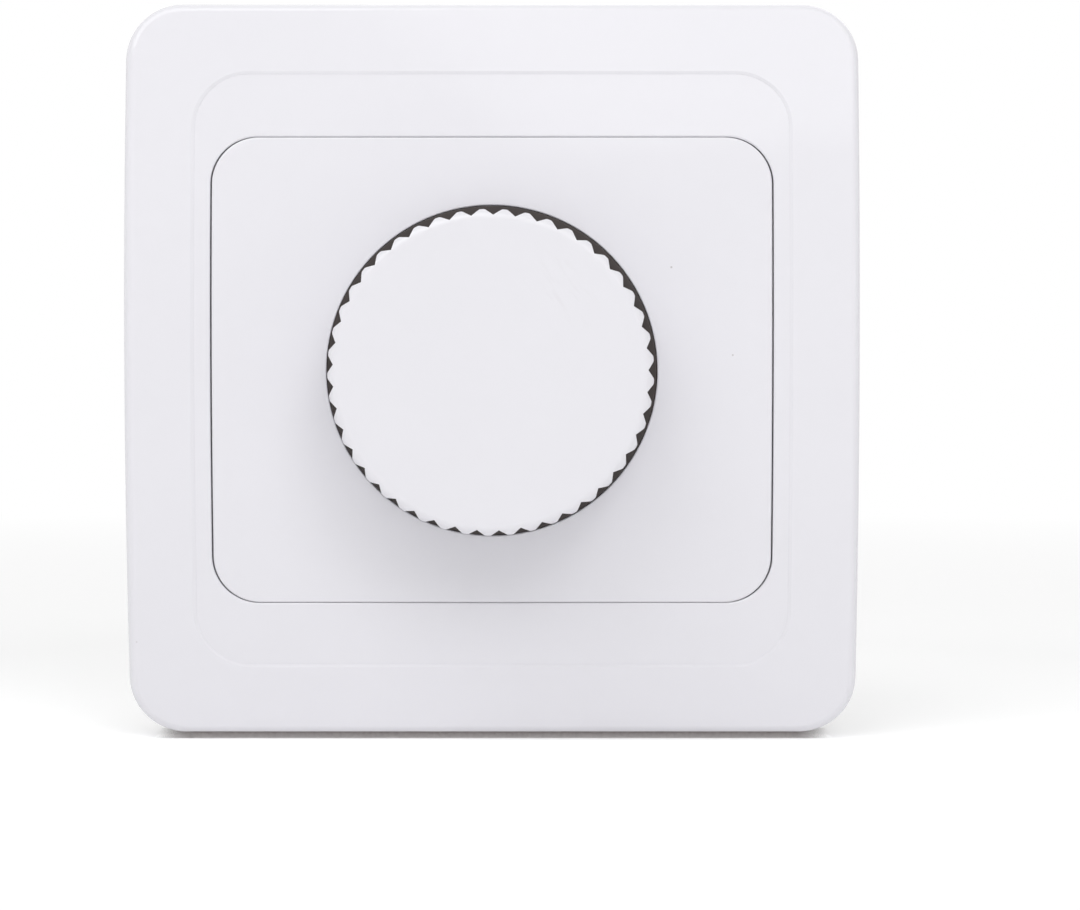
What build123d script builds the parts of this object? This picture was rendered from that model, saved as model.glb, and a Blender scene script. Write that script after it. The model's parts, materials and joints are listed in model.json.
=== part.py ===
from build123d import *
import os
from math import cos, pi, radians, sin, sqrt, tan

# A rotary wall dimmer for a flush box, in millimetres.
# Pieces are drawn with x to the right, y up the wall and z out of the wall, with the wall plane at z = 0.
# The knob turns about the z axis. Each finished piece is stood up: then +Z is up and the front faces -Y.

# Mounting bridge
box_spacing = 60.0
slot_width = 4.2
slot_length = 7.0
slot_land = 2.0
bridge_thick = 1.0
bridge_corner = 8.0
corner_hole = 1.8
corner_inset = 8.5
bead_length = 14.0
bead_width = 3.0
bead_height = 0.6
bead_wall = 0.8
bead_place = 16.5

# Cover frame, which hides the bridge
bridge_margin = 3.5
frame_wall = 2.0
frame_corner = 6.3
frame_edge = 1.0
arch_radius = 180.0
side_band = 1.8
end_band = 7.05
step_corner = 6.0
step_depth = 0.15
step_slope = 0.35
step_bevel = 0.12
opening_edge = 0.2
ledge_reach = 2.0
ledge_thick = 1.5
ledge_rim = 1.6
frame_rib = 1.2
frame_rib_place = 18.0
rib_clear = 2.0

# Centre plate
plate_width = 62.4
plate_height = 52.0
plate_corner = 5.2
plate_thick = 1.9
plate_edge = 0.25
plate_side_gap = 0.16
plate_end_gap = 0.04
seat_gap = 0.1
skirt_wall = 1.2
skirt_gap = 0.25
skirt_clear = 0.8
well_wall = 1.6
well_floor = 1.6
well_clear = 1.4
well_edge = 0.15
plate_rib = 1.2

# Dark collar under the knob
collar_reveal = 0.6
collar_gap = 0.06
collar_thick = 1.55
collar_sink = 0.05
collar_dish_radius = 13.5
collar_dish_depth = 0.5
collar_edge = 0.1

# Knob
knob_radius = 17.75
knob_height = 9.8
knob_gap = 0.4
knob_wall = 1.95
knob_face = 2.0
knob_edge = 1.1
tooth_count = 45
tooth_phase = -3.0
tooth_round = 0.45
groove_depth = 0.65
groove_share = 0.82
boss_radius = 5.0
boss_gap = 0.4
knob_rib = 1.2
knob_rib_count = 6
knob_rib_depth = 4.5

# Leaf spring in the knob's boss
leaf_width = 4.0
leaf_thick = 0.4
leaf_gap = 0.1

# Potentiometer
shaft_radius = 3.0
shaft_flat = 1.5
shaft_fit = 0.05
shaft_end_gap = 0.3
shaft_tail = 1.0
bush_radius = 5.0
bush_gap = 0.2
bush_proud = 0.6
pot_nut_across = 14.0
pot_nut_thick = 2.0
plate_nut_across = 14.0
plate_nut_thick = 2.4
washer_radius = 8.0
washer_thick = 0.6
pot_radius = 10.0
flange_thick = 1.2
wafer_thick = 1.2
wafer_bore = 4.0
tongue_width = 12.0
tongue_reach = 3.6
can_depth = 6.8
can_wall = 0.5
carrier_radius = 7.0
carrier_thick = 2.4
carrier_gap = 2.2
lug_reach = 1.6
lug_root = 1.0
lug_angle = 30.0
stop_angle = 36.0
stop_clear_angle = 2.0
stop_gap = 0.5
contact_thick = 0.3
contact_gap = 0.1
contact_inner = 4.4
contact_outer = 6.0
finger_width = 1.4
switch_width = 14.0
switch_height = 8.0
switch_depth = 3.2
switch_corner = 1.0
switch_gap = 0.2
pin_width = 1.0
pin_thick = 0.5
pin_pitch = 4.0
pin_proud = 1.0
pin_tail = 0.5
pin_hole = 0.8
switch_pin_pitch = 1.2
switch_pin_inset = 1.5
tongue_pin_inset = 1.2

# Spreader claws and their screws
claw_axis = 18.0
claw_drop = 5.0
claw_thick = 1.2
claw_width = 13.0
claw_ear_width = 8.0
claw_leg = 16.0
claw_foot = 7.0
claw_bend = 1.2
claw_arm = 5.0
claw_swing = 25.0
claw_teeth = 5
claw_tooth_depth = 1.4
ear_land = 1.0
pivot_radius = 0.8
pivot_fit = 0.05
claw_lug_thick = 1.0
claw_lug_gap = 0.4
claw_lug_width = 3.4
claw_lug_end = 1.8
claw_screw_tail = 1.0
claw_screw_gap = 0.3

# Screws
screw_radius = 1.5
screw_head_radius = 2.7
screw_head_height = 1.9
screw_head_round = 0.5
screw_slot_width = 0.8
screw_slot_depth = 0.9
screw_tip = 0.4
screw_gap = 0.2

# Rear casing
housing_width = 40.0
housing_height = 48.0
housing_corner = 6.0
housing_wall = 1.8
housing_edge = 1.0
notch_gap = 0.4
housing_screw_gap = 2.0
housing_screw_length = 9.0
housing_boss_wall = 1.5
post_radius = 1.8
post_inset = 2.4
vent_count = 5
vent_width = 1.2
vent_length = 5.0
vent_pitch = 4.0
panel_width = 22.0
panel_height = 13.0
panel_corner = 1.5
panel_depth = 0.4
panel_lift = 6.0

# Circuit board
board_thick = 1.6
board_gap = 0.3
board_room = 10.0

# Choke
choke_radius = 5.4
choke_core_radius = 2.6
choke_flange = 1.2
choke_height = 8.4
choke_inset = 0.5
choke_lift = 4.0
winding_gap = 0.1
winding_inset = 0.3

# Triac on its heat sink
triac_width = 9.6
triac_length = 7.0
triac_thick = 4.4
tab_length = 5.6
tab_thick = 1.3
leg_width = 0.8
leg_thick = 0.5
leg_pitch = 2.5
leg_reach = 1.5
triac_lift = 0.5
sink_thick = 1.5
sink_margin = 1.0
sink_wing = 3.0
sink_inset = 0.4
triac_nut_across = 5.4
triac_nut_thick = 2.0

# Small components
capacitor_width = 13.0
capacitor_height = 6.0
capacitor_depth = 8.6
capacitor_edge = 0.6
row_inset = 2.0
row_gap = 0.6
resistor_radius = 1.15
resistor_length = 6.3
resistor_pitch = 3.2
resistor_count = 3
lead_radius = 0.3
lead_reach = 1.2
axial_round = 0.3
diac_radius = 0.9
diac_length = 4.0
diac_gap = 0.9
fuse_radius = 2.5
fuse_length = 20.0
fuse_cap = 5.0
fuse_neck = 0.15
fuse_rise = 3.2
fuse_gap = 0.45
clip_gap = 0.1
clip_thick = 0.5
clip_width = 4.0
clip_mouth = 3.4

# Screw terminals
clamp_width = 5.6
clamp_height = 6.4
clamp_pitch = 7.6
clamp_inset = 0.5
clamp_rise = 1.8
clamp_gap = 0.2
clamp_end = 1.0
wire_hole = 1.6
wire_mouth = 2.0
terminal_head_radius = 2.0
terminal_head_height = 1.4
terminal_head_round = 0.4
terminal_shank_radius = 1.3
terminal_gap = 0.3

# The collar and the well that it lies in
collar_radius = knob_radius + collar_reveal
well_radius = collar_radius + collar_gap

# Heights from the wall out into the room, each resting on the one before
washer_top = bridge_thick + washer_thick
pot_nut_top = washer_top + pot_nut_thick
well_low = pot_nut_top + well_clear
well_top = well_low + well_floor
collar_front = well_top + collar_thick
dish_front = collar_front - collar_dish_depth
plate_nut_top = dish_front + plate_nut_thick
bush_top = plate_nut_top + bush_proud
band_crown = collar_front + collar_sink + arch_radius - sqrt(arch_radius ** 2 - well_radius ** 2)
collar_crown = band_crown - collar_sink
frame_crown = band_crown + step_depth
arch_centre = band_crown - arch_radius
knob_rear = collar_crown + knob_gap
knob_front = knob_rear + knob_height
boss_low = bush_top + boss_gap
boss_top = knob_front - knob_face
shaft_top = boss_top - shaft_end_gap

# Depths behind the wall plane, as negative heights
flange_rear = -flange_thick
wafer_rear = flange_rear - wafer_thick
can_rear = wafer_rear - can_depth
carrier_front = wafer_rear - carrier_gap
carrier_rear = carrier_front - carrier_thick
shaft_rear = carrier_rear - shaft_tail
board_front = can_rear - switch_depth - switch_gap
board_rear = board_front - board_thick
housing_floor = board_rear - board_room
housing_rear = housing_floor - housing_wall

# Widths and places that follow from the sizes above
bridge_size = box_spacing + slot_length + 2 * slot_land
frame_size = bridge_size + 2 * (bridge_margin + frame_wall)
opening_width = plate_width + 2 * plate_side_gap
opening_height = plate_height + 2 * plate_end_gap
opening_corner = plate_corner + plate_end_gap
step_width = opening_width + 2 * side_band
step_height = opening_height + 2 * end_band
ledge_width = opening_width - 2 * ledge_reach
ledge_height = opening_height - 2 * ledge_reach
ledge_corner = opening_corner - ledge_reach
ledge_crown = band_crown - plate_thick - seat_gap
groove_radius = knob_radius - groove_depth
cup_radius = groove_radius - knob_wall
bush_hole = bush_radius + bush_gap
lug_half = claw_width / 2 + claw_lug_gap + claw_lug_thick
notch_face = claw_axis - claw_lug_width / 2 - notch_gap
notch_half = lug_half + notch_gap
waist_half = notch_face - housing_wall - board_gap
board_half_width = housing_width / 2 - housing_wall - board_gap
board_half_height = housing_height / 2 - housing_wall - board_gap
tongue_pin_y = -pot_radius - tongue_reach + tongue_pin_inset
switch_pin_y = -switch_height / 2 + switch_pin_inset
housing_boss = screw_radius + housing_boss_wall
housing_screw_y = pot_radius + tongue_reach + housing_screw_gap + housing_boss
claw_tilt = radians(claw_swing)
claw_screw_length = bridge_thick + claw_drop + claw_thick / 2 + claw_screw_tail
ear_slot_near = claw_arm - screw_radius - claw_screw_gap
ear_reach = claw_arm + screw_radius + claw_thick / 2 * sin(claw_tilt)
ear_slot_far = ear_reach / cos(claw_tilt) + claw_screw_gap
post_x = board_half_width - post_inset
post_y = board_half_height - post_inset
row_half = post_x - post_radius - row_gap
row_y = board_half_height - row_inset - capacitor_height / 2
choke_x = -waist_half + choke_inset + choke_radius
diac_y = choke_lift - choke_radius - diac_gap - diac_radius
clamp_y = -board_half_height + clamp_inset + clamp_height / 2
clamp_front = board_rear - clamp_rise
clamp_rear = housing_floor + clamp_gap
clamp_middle = (clamp_front + clamp_rear) / 2
fuse_y = tongue_pin_y + pin_thick / 2 + fuse_gap + fuse_radius
fuse_z = board_rear - fuse_rise
triac_x = waist_half - sink_inset - sink_margin - triac_width / 2
triac_y = -triac_length / 2
triac_front = board_rear - triac_lift
tab_rear = triac_front - triac_thick
tab_front = tab_rear + tab_thick
tab_screw_y = triac_y + triac_length + tab_length / 2
sink_rear = tab_rear - sink_thick

FROM_BASE = (Align.CENTER, Align.CENTER, Align.MIN)


def disc(radius, low, high, x=0, y=0):
    """A round solid between two heights."""
    return Pos(x, y, low) * Cylinder(radius, high - low, align=FROM_BASE)


def slab(width, height, low, high, x=0, y=0):
    """A square-edged solid between two heights."""
    return Pos(x, y, low) * Box(width, height, high - low, align=FROM_BASE)


def prism(outline, low, high):
    """A flat outline carried from one height to another."""
    return extrude(Pos(0, 0, low) * outline, high - low, dir=(0, 0, 1))


def across(outline, width):
    """An outline drawn in x and z, carried across y with its middle at y = 0."""
    return Plane.XZ * Pos(0, 0, -width / 2) * extrude(outline, width, dir=(0, 0, 1))


def ring(outer, inner, low, high, x=0, y=0):
    """A round solid with a round hole."""
    return disc(outer, low, high, x, y) - disc(inner, low, high, x, y)


def group(shapes):
    """Separate like solids that are handled as one piece."""
    return Compound([solid for shape in shapes for solid in shape.solids()])


def under_arch(crown):
    """Everything behind the arched surface that has its top at this height."""
    return Pos(0, 0, arch_centre) * Rot(0, 90, 0) * Cylinder(crown - arch_centre, 2 * frame_size)


def arched_face(solid, crown):
    """The face of a solid that follows the arch with its top at this height."""
    curved = solid.faces().filter_by(GeomType.CYLINDER)
    return min(curved, key=lambda face: abs(face.radius - (crown - arch_centre)))


def d_outline(radius, flat):
    """A circle with one flat, above the middle."""
    return Circle(radius) & Pos(0, flat - radius) * Rectangle(2 * radius, 2 * radius)


def hex_nut(width, hole, low, high, x=0, y=0):
    """A hexagon nut of a width across its flats."""
    outline = RegularPolygon(width / 2, 6, major_radius=False) - Circle(hole)
    return prism(Pos(x, y) * outline, low, high)


def slotted_screw(head_radius, head_height, head_round, shank_radius, length):
    """A slotted screw with the underside of its head at z = 0 and its shank below."""
    head = disc(head_radius, 0, head_height)
    head = fillet(head.edges().sort_by(Axis.Z)[-1], head_round)
    head -= slab(2 * head_radius, screw_slot_width, head_height - screw_slot_depth, head_height)
    shank = disc(shank_radius, -length, 0)
    return head + chamfer(shank.edges().sort_by(Axis.Z)[0], screw_tip)


def machine_screw(length):
    """One of the like screws that hold the casing, the claws and the triac."""
    return slotted_screw(screw_head_radius, screw_head_height, screw_head_round, screw_radius, length)


def make_frame():
    """Square cover frame: an arched shell with a shallow step and a ledge for the centre plate."""
    outline = RectangleRounded(frame_size, frame_size, frame_corner)
    inside_size = frame_size - 2 * frame_wall
    inside = RectangleRounded(inside_size, inside_size, frame_corner - frame_wall)
    step = RectangleRounded(step_width, step_height, step_corner)
    opening = RectangleRounded(opening_width, opening_height, opening_corner)
    rim_outline = RectangleRounded(
        opening_width + 2 * ledge_rim, opening_height + 2 * ledge_rim, opening_corner + ledge_rim
    )
    passage = RectangleRounded(ledge_width, ledge_height, ledge_corner)

    border = prism(outline, 0, frame_crown) & under_arch(frame_crown)
    border = fillet(arched_face(border, frame_crown).edges(), frame_edge)
    border -= prism(step, 0, frame_crown)
    top = arched_face(border, frame_crown)
    border = chamfer(top.inner_wires()[0].edges(), step_slope, step_bevel, reference=top)
    band = prism(step - opening, 0, frame_crown) & under_arch(band_crown)
    band = fillet(arched_face(band, band_crown).inner_wires()[0].edges(), opening_edge)
    frame = border + band - (prism(inside, 0, frame_crown) & under_arch(frame_crown - frame_wall))

    rim = prism(rim_outline, 0, frame_crown) & under_arch(band_crown - frame_wall / 2)
    frame += rim - under_arch(ledge_crown - ledge_thick)
    frame += frame_ribs()
    frame -= prism(opening, 0, frame_crown) - under_arch(ledge_crown)
    return frame - prism(passage, 0, frame_crown)


def frame_ribs():
    """Stiffening ribs between the ledge's rim and the side walls."""
    rib_low = bridge_thick + rib_clear
    rim_half = (opening_width / 2 + ledge_rim / 2, opening_height / 2 + ledge_rim / 2)
    wall_half = frame_size / 2 - frame_wall / 2
    ribs = []
    for side in (-1, 1):
        for place in (-frame_rib_place, frame_rib_place):
            reach = wall_half - rim_half[0]
            ribs.append(slab(reach, frame_rib, rib_low, frame_crown, side * (wall_half - reach / 2), place))
            reach = wall_half - rim_half[1]
            ribs.append(slab(frame_rib, reach, rib_low, frame_crown, place, side * (wall_half - reach / 2)))
    inner = under_arch(frame_crown - frame_wall / 2)
    return [rib & inner for rib in ribs]


def make_centre_plate():
    """Arched plate with a round well for the collar, a locating skirt and ribs behind."""
    outline = RectangleRounded(plate_width, plate_height, plate_corner)
    middle = under_arch(band_crown - plate_thick / 2)
    plate = prism(outline, 0, frame_crown) & under_arch(band_crown)
    plate = fillet(arched_face(plate, band_crown).edges(), plate_edge)
    plate -= under_arch(band_crown - plate_thick)

    skirt_low = bridge_thick + screw_head_height + skirt_clear
    skirt_width = ledge_width - 2 * skirt_gap
    skirt_height = ledge_height - 2 * skirt_gap
    skirt = RectangleRounded(skirt_width, skirt_height, ledge_corner - skirt_gap)
    skirt -= RectangleRounded(
        skirt_width - 2 * skirt_wall, skirt_height - 2 * skirt_wall, ledge_corner - skirt_gap - skirt_wall
    )
    plate += prism(skirt, skirt_low, frame_crown) & middle
    plate += slab(skirt_width - skirt_wall, plate_rib, well_low, frame_crown) & middle
    plate += slab(plate_rib, skirt_height - skirt_wall, well_low, frame_crown) & middle
    plate += disc(well_radius + well_wall, well_low, frame_crown) & middle
    plate -= disc(well_radius, well_top, frame_crown)
    plate = fillet(arched_face(plate, band_crown).inner_wires()[0].edges(), well_edge)
    return plate - disc(bush_hole, well_low, well_top)


def make_knob_collar():
    """Dark ring that follows the plate's arch under the knob, dished inside, with a hole for the bush."""
    collar = disc(collar_radius, well_top, frame_crown) & under_arch(collar_crown)
    collar = fillet(arched_face(collar, collar_crown).edges(), collar_edge)
    collar -= disc(collar_dish_radius, dish_front, frame_crown)
    return collar - disc(bush_hole, well_top, dish_front)


def make_knob():
    """Cup with V-grooves all round its rim, a rounded front edge, and a ribbed boss for the shaft."""
    pitch = 2 * pi * knob_radius / tooth_count
    overshoot = 2 * groove_depth
    half_mouth = groove_share * pitch / 2 * overshoot / groove_depth
    mouth_radius = groove_radius + overshoot
    groove = Polygon(
        (groove_radius, 0), (mouth_radius, half_mouth), (mouth_radius, -half_mouth), align=None
    )
    groove_turns = [tooth_phase + (index + 0.5) * 360 / tooth_count for index in range(tooth_count)]
    rim = Circle(knob_radius) - [Rot(0, 0, turn) * groove for turn in groove_turns]
    tips = [point for point in rim.vertices() if Vector(*point).length > knob_radius - groove_depth / 2]
    rim = fillet(tips, tooth_round)

    envelope = disc(knob_radius, knob_rear, knob_front)
    envelope = fillet(envelope.edges().sort_by(Axis.Z)[-1], knob_edge)
    knob = prism(rim, knob_rear, knob_front) & envelope
    knob -= disc(cup_radius, knob_rear, boss_top)

    rib_low = boss_top - knob_rib_depth
    ribs = slab(2 * cup_radius, knob_rib, rib_low, boss_top)
    for index in range(1, knob_rib_count // 2):
        ribs += Rot(0, 0, index * 360 / knob_rib_count) * slab(2 * cup_radius, knob_rib, rib_low, boss_top)
    knob += ribs & disc(cup_radius, rib_low, boss_top)
    knob += disc(boss_radius, boss_low, boss_top)
    knob -= prism(d_outline(shaft_radius + shaft_fit, shaft_flat + shaft_fit), boss_low, boss_top)
    pocket_height = leaf_thick + 2 * leaf_gap
    pocket_y = shaft_flat + pocket_height / 2
    return knob - slab(leaf_width + 2 * leaf_gap, pocket_height, boss_low, boss_top, 0, pocket_y)


def make_knob_spring():
    """Leaf spring that presses on the flat of the shaft."""
    leaf_y = shaft_flat + leaf_gap + leaf_thick / 2
    return slab(leaf_width, leaf_thick, boss_low + leaf_gap, boss_top - leaf_gap, 0, leaf_y)


def make_pot_shaft():
    """Control shaft with a flat for the knob."""
    round_part = disc(shaft_radius, shaft_rear, bush_top)
    return round_part + prism(d_outline(shaft_radius, shaft_flat), bush_top, shaft_top)


def make_pot_bush():
    """Threaded bush with the flange that lies behind the bridge."""
    bush = disc(pot_radius, flange_rear, 0) + disc(bush_radius, 0, bush_top)
    return bush - disc(shaft_radius + shaft_fit, flange_rear, bush_top)


def make_pot_wafer():
    """Flat carrier of the resistance track, with a tongue for its terminals."""
    tongue = Pos(0, -(pot_radius + tongue_reach) / 2) * Rectangle(tongue_width, pot_radius + tongue_reach)
    wafer = prism(Circle(pot_radius) + tongue - Circle(wafer_bore), wafer_rear, flange_rear)
    pins = [disc(pin_hole, wafer_rear, flange_rear, x, tongue_pin_y) for x in (-pin_pitch, 0, pin_pitch)]
    return wafer - pins


def sector(inner, outer, angle, middle, low, high):
    """A part of a ring, about a middle direction in degrees."""
    reach = 2 * outer
    half_mouth = reach * tan(radians(angle / 2))
    wedge = Polygon((0, 0), (reach, -half_mouth), (reach, half_mouth), align=None)
    outline = (Circle(outer) - Circle(inner)) & wedge
    return prism(Rot(0, 0, middle) * outline, low, high)


def make_pot_case():
    """Drawn can with an inward stop for the wiper carrier."""
    inner = pot_radius - can_wall
    can = disc(pot_radius, can_rear, wafer_rear) - disc(inner, can_rear + can_wall, wafer_rear)
    stop = sector(carrier_radius + stop_gap, inner + can_wall / 2, stop_angle, -90, can_rear, carrier_front)
    return can + stop


def make_wiper_carrier():
    """Disc on the end of the shaft, with a lug that meets the can's stop at both ends of the turn."""
    rest = -90 - stop_angle / 2 - lug_angle / 2 - stop_clear_angle
    carrier = disc(carrier_radius, carrier_rear, carrier_front)
    lug_inner = carrier_radius - lug_root
    lug_outer = carrier_radius + lug_reach
    carrier += sector(lug_inner, lug_outer, lug_angle, rest, carrier_rear, carrier_front)
    return carrier - disc(shaft_radius + shaft_fit, carrier_rear, carrier_front)


def make_wiper_contact():
    """Spring contact on the carrier, with two fingers raised to the track."""
    contact = ring(contact_outer, contact_inner, carrier_front, carrier_front + contact_thick)
    rise = carrier_gap - contact_thick - contact_gap
    profile = Polygon(
        (contact_inner, 0),
        (contact_inner, contact_thick),
        (contact_outer, contact_thick + rise),
        (contact_outer, rise),
        align=None,
    )
    finger = Pos(0, 0, carrier_front) * across(profile, finger_width)
    return contact + finger + Rot(0, 0, 180) * finger


def make_switch_block():
    """Mains switch behind the can, worked at the off end of the turn."""
    block = slab(switch_width, switch_height, board_front + switch_gap, can_rear)
    return fillet(block.edges().filter_by(Axis.Z), switch_corner)


def terminal_pins():
    """Places and front ends of the pins that tie the potentiometer to the board."""
    track = [(x, tongue_pin_y, flange_rear) for x in (-pin_pitch, 0, pin_pitch)]
    switch = [(x, switch_pin_y, board_front + switch_gap) for x in (-switch_pin_pitch, switch_pin_pitch)]
    return track + switch


def make_pot_terminals():
    """Flat pins from the wafer and the switch through the board."""
    return group(
        [slab(pin_width, pin_thick, board_rear - pin_proud, top, x, y) for x, y, top in terminal_pins()]
    )


def make_bridge():
    """Steel mounting plate with slots for the box screws, pressed beads and bent lugs for the claws."""
    corner = bridge_size / 2 - corner_inset
    outline = RectangleRounded(bridge_size, bridge_size, bridge_corner) - Circle(bush_hole)
    for turn in range(0, 360, 90):
        outline -= Rot(0, 0, turn) * Pos(box_spacing / 2, 0) * SlotOverall(slot_length, slot_width)
        outline -= Rot(0, 0, turn) * Pos(corner, corner) * Circle(corner_hole)
    for side in (-1, 1):
        outline -= Pos(0, side * housing_screw_y) * Circle(screw_radius + screw_gap)
        outline -= Pos(side * (claw_axis + claw_arm), 0) * Circle(screw_radius + screw_gap)
        outline -= Pos(side * claw_axis, 0) * Rectangle(claw_lug_width, 2 * lug_half)
    bridge = prism(outline, 0, bridge_thick)
    bridge += bridge_beads(bead_length, bead_width, bridge_thick, bridge_thick + bead_height)
    bridge -= bridge_beads(bead_length - 2 * bead_wall, bead_width - 2 * bead_wall, 0, bead_height)
    lug_low = -claw_drop - claw_lug_end
    for side in (-1, 1):
        for end in (-1, 1):
            lug_y = end * (lug_half - claw_lug_thick / 2)
            bridge += slab(claw_lug_width, claw_lug_thick, lug_low, bridge_thick, side * claw_axis, lug_y)
        bridge -= claw_pin(side, pivot_radius + pivot_fit, 2 * lug_half + claw_lug_thick)
    return bridge


def bridge_beads(length, width, low, high):
    """The solids of the stiffening beads, one on each side of every slot."""
    bead = prism(SlotOverall(length, width, rotation=90), low, high)
    places = [Pos(box_spacing / 2, end * bead_place) for end in (-1, 1)]
    return [Rot(0, 0, turn) * place * bead for turn in range(0, 360, 90) for place in places]


def claw_pin(side, radius, length):
    """A cylinder on the hinge line of the claw at this side."""
    return Pos(side * claw_axis, 0, -claw_drop) * Rot(90, 0, 0) * Cylinder(radius, length)


def make_claw():
    """Bent steel claw at the right: an ear for the screw, a leg, and a toothed foot that bites the box."""
    ear_end = claw_axis + ear_slot_far + ear_land
    path = FilletPolyline(
        (ear_end, -claw_drop),
        (claw_axis, -claw_drop),
        (claw_axis, -claw_drop - claw_leg),
        (claw_axis + claw_foot, -claw_drop - claw_leg),
        radius=claw_bend,
    )
    claw = across(trace(path, claw_thick), claw_width)
    ear_room = claw_width - claw_ear_width
    for end in (-1, 1):
        trim_y = end * (claw_ear_width + ear_room / 2) / 2
        trim_x = claw_axis + claw_bend + ear_end / 2
        claw -= slab(ear_end, ear_room / 2, -2 * claw_drop, 0, trim_x, trim_y)
    slot_middle = claw_axis + (ear_slot_near + ear_slot_far) / 2
    slot = SlotOverall(ear_slot_far - ear_slot_near, 2 * (screw_radius + claw_screw_gap))
    claw -= prism(Pos(slot_middle, 0) * slot, -2 * claw_drop, 0)

    tip = claw_axis + claw_foot
    tooth = claw_width / claw_teeth
    notch = Polygon((tip - claw_tooth_depth, 0), (tip, tooth / 2), (tip, -tooth / 2), align=None)
    foot_low = -claw_drop - claw_leg - claw_thick
    for index in range(claw_teeth + 1):
        claw -= prism(Pos(0, (index - claw_teeth / 2) * tooth) * notch, foot_low, foot_low + 2 * claw_thick)
    middle = slab(2 * ear_end, claw_width - claw_thick, -2 * claw_drop, 0)
    return claw + (claw_pin(1, pivot_radius, 2 * lug_half) - middle)


def make_claw_screw():
    """Screw at the right that draws the claw's ear towards the bridge."""
    return Pos(claw_axis + claw_arm, 0, bridge_thick) * machine_screw(claw_screw_length)


def housing_outline(inset):
    """Outline of the casing with a notch at each side for the claws, moved inwards by an inset."""
    outline = RectangleRounded(
        housing_width - 2 * inset, housing_height - 2 * inset, housing_corner - inset
    )
    for side in (-1, 1):
        notch = Rectangle(housing_width, 2 * (notch_half + inset))
        outline -= Pos(side * (notch_face - inset + housing_width / 2), 0) * notch
    return outline


def clamp_places():
    """Middle of each screw terminal from left to right."""
    return [-clamp_pitch, 0, clamp_pitch]


def make_base_housing():
    """Rear casing: a notched cup with screw bosses, board posts, wire holes, vents and a sunk panel."""
    housing = prism(housing_outline(0), housing_rear, 0)
    rear_face = housing.faces().sort_by(Axis.Z)[0]
    housing = chamfer(rear_face.edges(), housing_edge)
    housing -= prism(housing_outline(housing_wall), housing_floor, 0)
    inner = prism(housing_outline(housing_wall / 2), housing_rear, 0)

    boss_rear = board_front + pin_tail + board_gap
    web_height = housing_height / 2 - housing_screw_y
    for side in (-1, 1):
        boss = disc(housing_boss, boss_rear, 0, 0, side * housing_screw_y)
        web_y = side * (housing_screw_y + web_height / 2)
        boss += slab(2 * housing_boss, web_height, boss_rear, 0, 0, web_y)
        housing += boss & inner
        housing -= disc(screw_radius, -housing_screw_length, 0, 0, side * housing_screw_y)
    for x in (-post_x, post_x):
        for y in (-post_y, post_y):
            housing += disc(post_radius, housing_floor, board_rear, x, y)

    wall_y = -housing_height / 2
    for x in clamp_places():
        housing -= disc(wire_mouth, housing_rear, housing_floor, x, clamp_y)
        hole = Cylinder(terminal_head_radius + terminal_gap, 2 * housing_wall)
        housing -= Pos(x, wall_y + housing_wall / 2, clamp_middle) * Rot(90, 0, 0) * hole
    for index in range(vent_count):
        x = (index - (vent_count - 1) / 2) * vent_pitch
        vent_low = (board_rear + housing_floor - vent_length) / 2
        housing -= slab(vent_width, 2 * housing_wall, vent_low, vent_low + vent_length, x, -wall_y)
    panel = Pos(0, panel_lift) * RectangleRounded(panel_width, panel_height, panel_corner)
    return housing - prism(panel, housing_rear, housing_rear + panel_depth)


def make_housing_screws():
    """Two screws that hold the casing to the bridge."""
    places = (-housing_screw_y, housing_screw_y)
    length = housing_screw_length + bridge_thick - screw_gap
    return group([Pos(0, y, bridge_thick) * machine_screw(length) for y in places])


def triac_legs():
    """Places of the triac's legs along the board."""
    return [triac_x - leg_pitch, triac_x, triac_x + leg_pitch]


def make_circuit_board():
    """Waisted board with holes for the pins that pass through it."""
    outline = Rectangle(2 * board_half_width, 2 * board_half_height)
    outline = fillet(outline.vertices(), housing_corner - housing_wall)
    for side in (-1, 1):
        notch = Rectangle(housing_width, 2 * (notch_half + housing_wall + board_gap))
        outline -= Pos(side * (waist_half + housing_width / 2), 0) * notch
    holes = [(x, y) for x, y, top in terminal_pins()]
    holes += [(x, triac_y - leg_reach) for x in triac_legs()]
    holes += [(x, clamp_y) for x in clamp_places()]
    for x, y in holes:
        outline -= Pos(x, y) * Circle(pin_hole)
    return prism(outline, board_rear, board_front)


def make_triac():
    """Flat power package with a metal tab behind and three legs bent to the board."""
    body = slab(triac_width, triac_length, tab_rear, triac_front, triac_x, triac_y + triac_length / 2)
    tab = slab(triac_width, tab_length, tab_rear, tab_front, triac_x, tab_screw_y)
    triac = body + tab - disc(screw_radius + screw_gap, tab_rear, tab_front, triac_x, tab_screw_y)
    leg_z = (triac_front + tab_rear) / 2
    leg_run = leg_reach + leg_thick / 2
    for x in triac_legs():
        triac += slab(leg_width, leg_run, leg_z, leg_z + leg_thick, x, triac_y - leg_run / 2)
        triac += slab(leg_width, leg_thick, leg_z, board_front + pin_tail, x, triac_y - leg_reach)
    return triac


def make_heat_sink():
    """Bent aluminium plate behind the triac."""
    width = triac_width + 2 * sink_margin
    height = triac_length + tab_length
    middle_y = triac_y + height / 2
    sink = slab(width, height, sink_rear, tab_rear, triac_x, middle_y)
    for side in (-1, 1):
        wing_x = triac_x + side * (width - sink_thick) / 2
        sink += slab(sink_thick, height, tab_rear - sink_wing, tab_rear, wing_x, middle_y)
    return sink - disc(screw_radius + screw_gap, sink_rear, tab_rear, triac_x, tab_screw_y)


def make_triac_screw():
    """Screw through the heat sink and the triac's tab."""
    length = sink_thick + tab_thick + triac_nut_thick
    return Pos(triac_x, tab_screw_y, sink_rear) * Rot(180, 0, 0) * machine_screw(length)


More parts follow.
